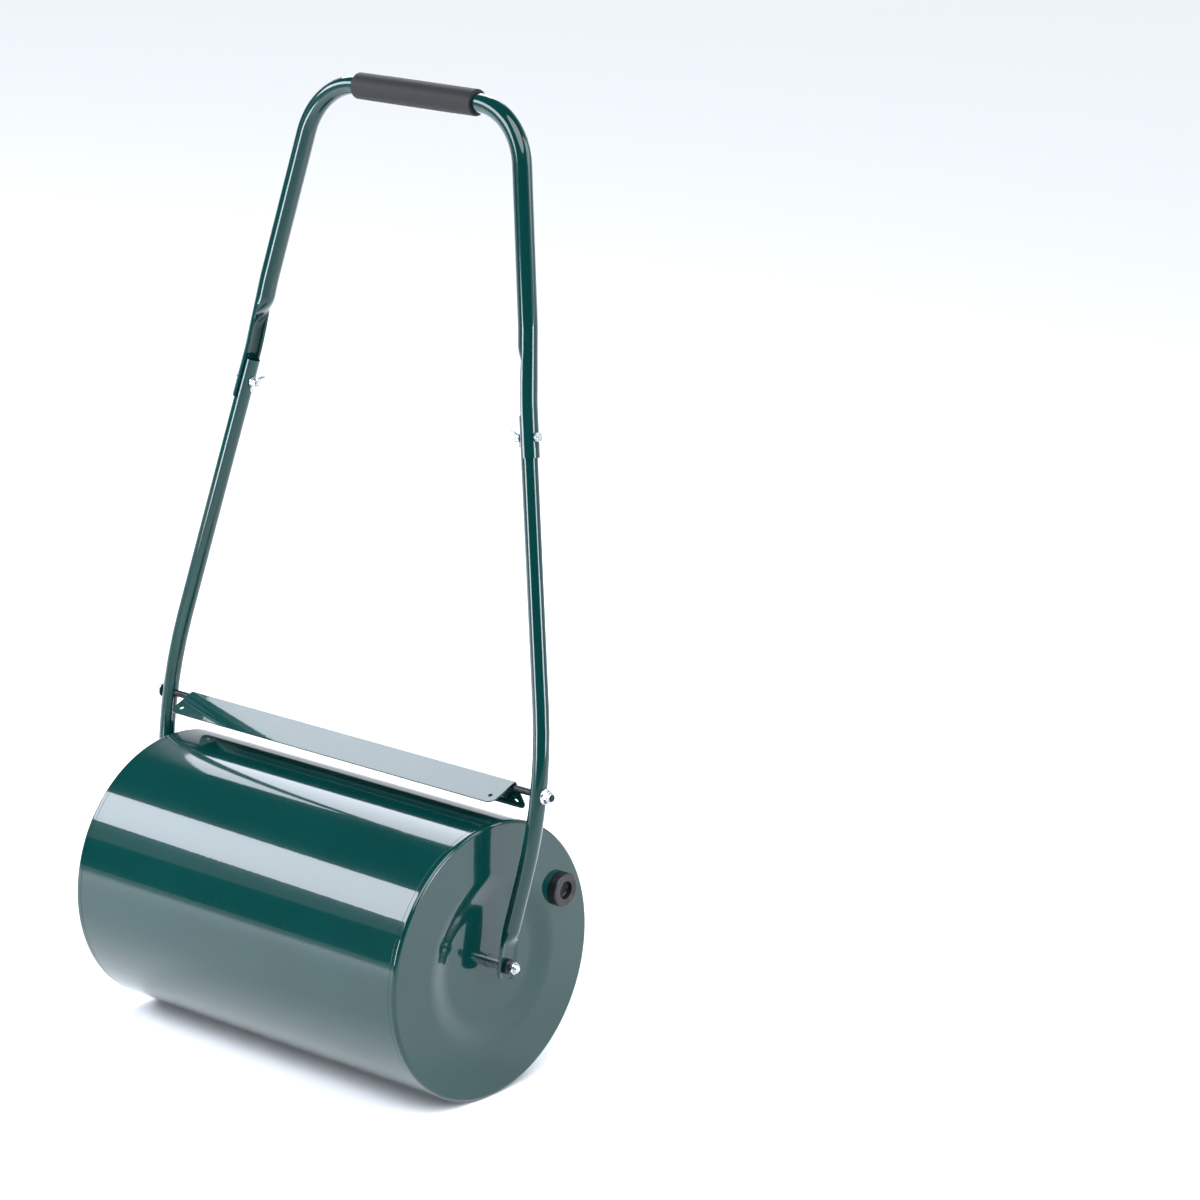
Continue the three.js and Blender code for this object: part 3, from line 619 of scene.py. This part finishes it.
def pick(piece, test):
    """Selects the vertices in edit mode whose place, in millimetres, passes a test."""
    select_only(piece)
    bpy.ops.object.mode_set(mode="EDIT")
    bpy.ops.mesh.select_mode(type="VERT")
    bpy.ops.mesh.select_all(action="DESELECT")
    bpy.ops.object.mode_set(mode="OBJECT")
    for vertex in piece.data.vertices:
        vertex.select = test(vertex.co / mm)
    bpy.ops.object.mode_set(mode="EDIT")
    bpy.ops.mesh.select_mode(type="VERT")


def draw_along(piece, corners):
    """Draws the selected ring along corners (x, height, bend radius): it extrudes the straight stretches
    and spins the bends. The first and last corners have no bend."""
    points = [Vector((x, 0, z)) * mm for x, z, _ in corners]
    across_plane = Vector((0, 1, 0))
    at = points[0]
    for before, corner, after, (_, _, radius) in zip(points, points[1:], points[2:], corners[1:]):
        into = (corner - before).normalized()
        out = (after - corner).normalized()
        bend = math.atan2(into.cross(out).dot(across_plane), into.dot(out))
        start = corner - into * (radius * mm * math.tan(abs(bend) / 2))
        bpy.ops.mesh.extrude_region_move(TRANSFORM_OT_translate={"value": start - at})
        centre = start - into.cross(across_plane) * radius * mm * (1 if bend > 0 else -1)
        steps = max(2, math.ceil(abs(math.degrees(bend)) / 3))
        bpy.ops.mesh.spin(steps=steps, angle=-bend, center=centre, axis=across_plane)
        at = corner + out * (radius * mm * math.tan(abs(bend) / 2))
    bpy.ops.mesh.extrude_region_move(TRANSFORM_OT_translate={"value": points[-1] - at})


def join(piece, other):
    """Joins the other object's mesh into a piece."""
    select_only(piece)
    other.select_set(True)
    bpy.ops.object.join()


def bridge_open_ends(piece, cuts):
    """Swells one open end of a right-hand piece into its other. An end on the plane x = 0 stays open."""
    select_only(piece)
    bpy.ops.object.mode_set(mode="EDIT")
    bpy.ops.mesh.select_all(action="DESELECT")
    bpy.ops.mesh.select_mode(type="EDGE")
    bpy.ops.mesh.select_non_manifold()
    bpy.ops.object.mode_set(mode="OBJECT")
    for edge in piece.data.edges:
        ends = [piece.data.vertices[v].co.x for v in edge.vertices]
        edge.select = edge.select and min(ends) > 1 * mm
    bpy.ops.object.mode_set(mode="EDIT")
    bpy.ops.mesh.bridge_edge_loops(number_cuts=cuts, interpolation="SURFACE", smoothness=1.0)
    face_outwards()


def close_end(piece):
    """Fills the selected open ring."""
    bpy.ops.mesh.edge_face_add()
    bpy.ops.object.mode_set(mode="OBJECT")


def at_joint(piece):
    """Turns a piece along X to lie along the joint's bolt, with x = 0 on the arm's centre line."""
    x, height = on_arm(joint_height, 0)
    return put(piece, (x, 0, height), (0, run_tilt, 0))


def to_handle(piece):
    """Leans a piece that stands in the handle's upright plane back with the handle."""
    return put(piece, (0, 0, drum_radius), (-lean, 0, 0))


def bar(radius, start, end):
    """A round bar along X, mostly used as a drill."""
    return turned("bar", [(radius, start), (radius, end)], 48)


def fit_out_pair(right, finish, body, stands_for):
    """Copies a piece of the handle's right side to its left side and fits out both."""
    left = put(copy_of(right, right.name.replace("_right", "_left")), (0, 0, 0), (0, 0, 180))
    for piece, side in ((right, "right"), (left, "left")):
        to_handle(piece)
        fit_out(piece, finish, body.replace("SIDE", side), stands_for + "_" + side)


plate_low = 7
plate_corner = 8
plate_high = 19
swell_above_kick = 15
arm_tube = ring("arm_tube_right", plate_half_width, arm_plate_x, -plate_low, 0)
pick(arm_tube, lambda p: True)
flatten = arm_plate / 2 / plate_half_width
bpy.ops.transform.resize(value=(flatten, 1, 1), center_override=(arm_plate_x * mm, 0, 0))
for face_x, outside in ((plate_outer, 1), (plate_inner, -1)):
    pick(arm_tube, lambda p: outside * (p.x - arm_plate_x) > 0.1 and abs(p.y) < 12.2)
    bpy.ops.transform.resize(value=(0, 1, 1), center_override=(face_x * mm, 0, 0))
for curl_from, curl_by in ((9, 0.4), (12, 0.7)):
    pick(arm_tube, lambda p: abs(p.y) > curl_from)
    bpy.ops.transform.translate(value=(curl_by * mm, 0, 0))
pick(arm_tube, lambda p: True)
bpy.ops.mesh.extrude_region_move(TRANSFORM_OT_translate={"value": (0, 0, (plate_low + plate_high) * mm)})
pick(arm_tube, lambda p: p.z < 0)
half_width, depth = plate_half_width, plate_low
for step in range(1, 7):
    a = math.radians(15 * step)
    next_width = plate_half_width - plate_corner * (1 - math.cos(a))
    next_depth = plate_low + plate_corner * math.sin(a)
    bpy.ops.mesh.extrude_region_move(TRANSFORM_OT_translate={"value": (0, 0, (depth - next_depth) * mm)})
    bpy.ops.transform.resize(value=(1, next_width / half_width, 1), center_override=(0, 0, 0))
    half_width, depth = next_width, next_depth
close_end(arm_tube)

kick_tilt = math.degrees(math.atan(kick_slope))
tube_x = arm_plate_x + swell_above_kick * math.sin(math.radians(kick_tilt))
tube_height = kick_height + swell_above_kick * math.cos(math.radians(kick_tilt))
upper_tube = ring("upper_tube", arm_radius, tube_x, tube_height, kick_tilt)
pick(upper_tube, lambda p: True)
arm_top = on_arm(joint_height + arm_overlap, 0)
arm_corner = (arm_corner_x, rod_height, arm_bend)
draw_along(upper_tube, [(tube_x, tube_height, 0), arm_corner, (*arm_top, 0)])
bore_scale = (arm_radius - tube_wall) / arm_radius
top_centre = Vector((arm_top[0], 0, arm_top[1])) * mm
bpy.ops.mesh.extrude_region_move(TRANSFORM_OT_translate={"value": (0, 0, 0)})
bpy.ops.transform.resize(value=(bore_scale, bore_scale, bore_scale), center_override=top_centre)
down_bore = Vector((-math.cos(run), 0, -math.sin(run))) * 40 * mm
bpy.ops.mesh.extrude_region_move(TRANSFORM_OT_translate={"value": down_bore})
close_end(upper_tube)
join(arm_tube, upper_tube)
bridge_open_ends(arm_tube, 12)
cut_out(arm_tube, put(bar(bush_sleeve + touch_gap, 250, 290)))
cut_out(arm_tube, put(bar(m8 + thread_gap, 270, 320), (0, 0, rod_height)))
cut_out(arm_tube, at_joint(bar(bolt_hole, -30, 30)))
soften(arm_tube, 0.25, 2, 50)
fit_out_pair(arm_tube, enamel, "frame", "lower_arm")

# ---- Upper handle -------------------------------------------------------------------------------
# One 22 mm steel tube bent to a tall hoop, in the same enamel. Each end is pressed round the arm
# into a trough with a crescent section, which swells back to a round tube above the joint.
handle_reach = 931
handle_radius = 11
corner_half_width = 151
handle_bend = 75
trough_overlap = 22
joggle_low = 36
joggle_high = 117
joggle_shift = 6.2
joggle_bend = 150
swell_start = 22
swell_end = 64
trough_inner = arm_radius + touch_gap
trough_outer = trough_inner + 2 * tube_wall + 0.2
nest = trough_outer - handle_radius
end_at = on_arm(joint_height - trough_overlap, nest)
low_at = on_arm(joint_height + joggle_low, nest)
high_at = on_arm(joint_height + joggle_high, joggle_shift)
joggle = math.atan2(high_at[1] - low_at[1], high_at[0] - low_at[0])


def past_low(by):
    """A point on the handle's line, this far above the lower turn of its joggle."""
    return low_at[0] + by * math.cos(joggle), low_at[1] + by * math.sin(joggle)


trough_at = on_arm(joint_height - trough_overlap, 0)
handle_tube = ring("handle_hoop", trough_outer, *trough_at, run_tilt)
outward = Vector((math.sin(run), 0, -math.cos(run)))
trough_middle = Vector((trough_at[0], 0, trough_at[1]))
pick(handle_tube, lambda p: (p - trough_middle).dot(outward) < -0.5)
fold = trough_inner / trough_outer
bpy.ops.transform.resize(value=(-fold, fold, -fold), center_override=trough_middle * mm)
pick(handle_tube, lambda p: True)
draw_along(handle_tube, [(*end_at, 0), (*low_at, joggle_bend), (*past_low(swell_start), 0)])
pick(handle_tube, lambda p: abs((p - trough_middle).cross(outward).y) < 0.1)
close_end(handle_tube)
hoop_start = past_low(swell_end)
hoop = ring("hoop", handle_radius, *hoop_start, 90 - math.degrees(joggle))
pick(hoop, lambda p: True)
top_corner = (corner_half_width, handle_reach, handle_bend)
draw_along(hoop, [(*hoop_start, 0), (*high_at, joggle_bend), top_corner, (0, handle_reach, 0)])
bpy.ops.object.mode_set(mode="OBJECT")
join(handle_tube, hoop)
bridge_open_ends(handle_tube, 16)
modify(handle_tube, "MIRROR", merge_threshold=0.05 * mm)
bpy.ops.object.mode_set(mode="EDIT")
face_outwards()
cut_out(handle_tube, at_joint(bar(bolt_hole, 5, 30)))
cut_out(handle_tube, put(at_joint(bar(bolt_hole, 5, 30)), (0, 0, 0), (0, 0, 180)))
soften(handle_tube, 0.3, 2, 50)
to_handle(handle_tube)
fit_out(handle_tube, enamel, "frame", "upper_handle")

# ---- Foam grip ----------------------------------------------------------------------------------
# A sleeve of closed-cell black foam, pushed over the top of the hoop and held by its own squeeze.
# The eye sees a dull, velvety black with a fine open skin.
foam, tree, shader, place = material("closed_cell_foam")
shader.inputs["Specular IOR Level"].default_value = 0.35
shader.inputs["Roughness"].default_value = 0.65
tint(tree, shader, patches(tree, place, 2.5, 6, 0.7), 0x080808, 0x191A1B)
cells = node(tree, "ShaderNodeTexVoronoi", {"Scale": per_metre(1.1)}, Vector=place)
relief(tree, shader, cells.outputs["Distance"], 0.35, 0.3)

grip_radius = 15
grip_half = 90
grip_bore = handle_radius + touch_gap
grip_profile = [(grip_bore, -grip_half), (grip_radius - 2, -grip_half)]
grip_profile += arc(grip_radius - 2.2, 2.2 - grip_half, 2.2, -80, 0, 6)
grip_profile += [(grip_radius + 0.2 * math.cos(math.pi * x / 180), x) for x in range(-75, 90, 15)]
grip_profile += arc(grip_radius - 2.2, grip_half - 2.2, 2.2, 0, 80, 6)
grip_profile += [(grip_radius - 2, grip_half), (grip_bore, grip_half)]
sleeve = turned("foam_sleeve", grip_profile, 96, tube=True)
soften(sleeve, 0)
put(sleeve, (0, 0, handle_reach))
to_handle(sleeve)
fit_out(sleeve, foam, "frame", "foam_grip")

# ---- Tie rod and its nuts -----------------------------------------------------------------------
# A steel rod in black oxide, threaded M8 at its ends, runs through both arms and holds them apart.
# A zinc-plated flanged lock nut stands on either end.

# A near-black metal with an oily, uneven sheen.
black_oxide, tree, shader, place = material("oiled_black_oxide")
shader.inputs["Metallic"].default_value = 0.85
smudges = patches(tree, place, 9, 5)
tint(tree, shader, smudges, 0x1A1B1D, 0x303235)
haze(tree, shader, smudges, 0.28, 0.45)

rod_radius = 4
rod_nut_height = 9.4
rod_bend = run - math.atan2(1, kick_slope)
rod_arm_x = arm_corner_x - arm_bend * (1 / math.cos(rod_bend / 2) - 1)
rod_nut_start = rod_arm_x + arm_radius + touch_gap
rod_end = rod_nut_start + rod_nut_height + thread_past_nut
right_half = [(rod_radius, 0)] + thread(rod_radius, m8_pitch, rod_nut_start - 6, rod_end)
left_half = [(radius, -x) for radius, x in right_half[:0:-1]]
rod = turned("threaded_tie_rod", left_half + right_half, 64)
soften(rod, 0)
put(rod, (0, 0, rod_height))
to_handle(rod)
fit_out(rod, black_oxide, "frame", "tie_rod")
flange_nut = lock_nut("tie_rod_flange_nut_right", m8, 8.9, 1.8, rod_nut_height)
put(flange_nut, (rod_nut_start, 0, rod_height), (8, 0, 0))
fit_out_pair(flange_nut, zinc, "frame", "tie_rod_nut")

# ---- Joint bolts and wing nuts ------------------------------------------------------------------
# An M6 bolt clamps each trough round its arm: hexagon head outside, washer and wing nut inside.
# All are zinc plated, and the wing nut is a casting with a tapered hub and two thick wings.
m6_pitch = 1
head_flats = 10
head_height = 4
under_head = trough_outer + touch_gap
washer_height = 1.2
washer_seat = -arm_radius - touch_gap
nut_seat = washer_seat - washer_height - touch_gap
hub_height = 6.5
hub_base = 5.6
hub_top = 4.6
bolt_end = nut_seat - hub_height - 3
shank = [(radius, -x) for radius, x in thread(m6, m6_pitch, 2, -bolt_end)][::-1]
bolt = turned("joint_bolt_shank", shank + [(m6, under_head + 1)], 48)
cut_out(bolt, hexagon("head", head_flats, under_head, under_head + head_height, False, True), "UNION")
bolt.name = "hexagon_bolt_right"
soften(bolt, 0.15, 2)
at_joint(bolt)
fit_out_pair(bolt, zinc, "frame", "joint_bolt")

washer_radius = 6
washer_profile = [(bolt_hole, -washer_height), (washer_radius, -washer_height)]
washer_profile += [(washer_radius, 0), (bolt_hole, 0)]
washer = turned("flat_washer_right", washer_profile, 64, tube=True)
soften(washer, 0.2, 2)
at_joint(put(washer, (washer_seat, 0, 0)))
fit_out_pair(washer, zinc, "frame", "joint_washer")

hub_profile = [(hub_top - 0.5, -hub_height), (hub_top + 0.2, 0.8 - hub_height)]
hub_profile += [(hub_base, -0.4), (hub_base - 0.4, 0)]
wing_nut = turned("cast_wing_nut_right", hub_profile, 64)
wing_x = -3.4
wing_steps = [(4, 0, 1, 1), (4, 1, 0.92, 0.86), (2.4, 2.1, 1.08, 0.86), (1.3, 1.2, 0.8, 0.9)]
wing_steps += [(0.5, 0.3, 0.5, 0.8)]
for side in (1, -1):
    bpy.ops.object.select_all(action="DESELECT")
    bpy.ops.mesh.primitive_plane_add(size=5 * mm, location=(wing_x * mm, 0, 0))
    wing = bpy.context.active_object
    bpy.ops.object.transform_apply()
    bpy.ops.object.mode_set(mode="EDIT")
    bpy.ops.mesh.select_all(action="SELECT")
    bpy.ops.transform.resize(value=(1, 0.66, 1), center_override=(wing_x * mm, 0, 0))
    middle = wing_x
    for outwards, inwards, tall, thick in wing_steps:
        step_by = (-inwards * mm, 0, side * outwards * mm)
        bpy.ops.mesh.extrude_region_move(TRANSFORM_OT_translate={"value": step_by})
        middle -= inwards
        bpy.ops.transform.resize(value=(tall, thick, 1), center_override=(middle * mm, 0, 0))
    face_outwards()
    modify(wing, "SUBSURF", levels=3, render_levels=3)
    cut_out(wing_nut, wing, "UNION")
cut_out(wing_nut, bar(m6 + 0.1, -10, 2))
soften(wing_nut, 0.3, 2, 40)
put(wing_nut, (nut_seat, 0, 0), (38, 0, 0))
at_joint(wing_nut)
fit_out_pair(wing_nut, zinc, "wing_nut_SIDE", "wing_nut")

# ---- Scraper ------------------------------------------------------------------------------------
# One steel strip folded to a roof, with rounded and drilled corners, in the same green enamel. Two
# small plates welded inside the fold hang it loosely on the tie rod.
fold_half_angle = 48
scraper_half = 252
scraper_sheet = 1.5
leg_length = 43
ridge_over_rod = 8.2
fold_radius = 3
corner_radius = 10
hole_radius = 2.5
hole_inset = 11
scraper_tilt = 20
half_fold = math.radians(fold_half_angle)
to_tangent = fold_radius / math.tan(half_fold)
flat_leg = leg_length - to_tangent


def down_leg(distance, side=1):
    """A place on a leg's outer face, this far from the sharp ridge."""
    return side * distance * math.sin(half_fold), -distance * math.cos(half_fold)


bpy.ops.object.select_all(action="DESELECT")
bpy.ops.mesh.primitive_plane_add(size=1)
folded_strip = bpy.context.active_object
folded_strip.name = "folded_strip"
folded_strip.scale = (2 * scraper_half * mm, flat_leg * mm, 1)
put(folded_strip, (0, *down_leg(to_tangent + flat_leg / 2)), (fold_half_angle - 90, 0, 0))
pick(folded_strip, lambda p: p.y < 10)
ridge_centre = (0, 0, -fold_radius / math.sin(half_fold) * mm)
bpy.ops.mesh.spin(steps=8, angle=-(math.pi - 2 * half_fold), center=ridge_centre, axis=(1, 0, 0))
far_leg = Vector((0, *down_leg(flat_leg, -1))) * mm
bpy.ops.mesh.extrude_region_move(TRANSFORM_OT_translate={"value": far_leg})
edge_z = down_leg(leg_length)[1]
pick(folded_strip, lambda p: p.z < edge_z + 1)
bpy.ops.mesh.bevel(offset=corner_radius * mm, segments=10, affect="VERTICES")
face_outwards()
modify(folded_strip, "SOLIDIFY", thickness=scraper_sheet * mm, offset=-1)
for side in (1, -1):
    for end in (1, -1):
        drill = put(bar(hole_radius, -5, 5), (0, 0, 0), (0, 90, 0))
        place_y, place_z = down_leg(leg_length - hole_inset, side)
        spot = (end * (scraper_half - hole_inset), place_y, place_z)
        cut_out(folded_strip, put(drill, spot, (side * (fold_half_angle - 90), 0, 0)))
soften(folded_strip, 0.3, 2, 50)
rod_y = rod_height * math.sin(math.radians(lean))
rod_z = drum_radius + rod_height * math.cos(math.radians(lean))
put(folded_strip, (0, 0, ridge_over_rod))
put(folded_strip, (0, rod_y, rod_z), (-scraper_tilt, 0, 0))
fit_out(folded_strip, enamel, "scraper", "scraper_sheet")
for side in ("right", "left"):
    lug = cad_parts["scraper_lug_" + side]
    lug.data.materials.clear()
    lug.data.materials.append(enamel)
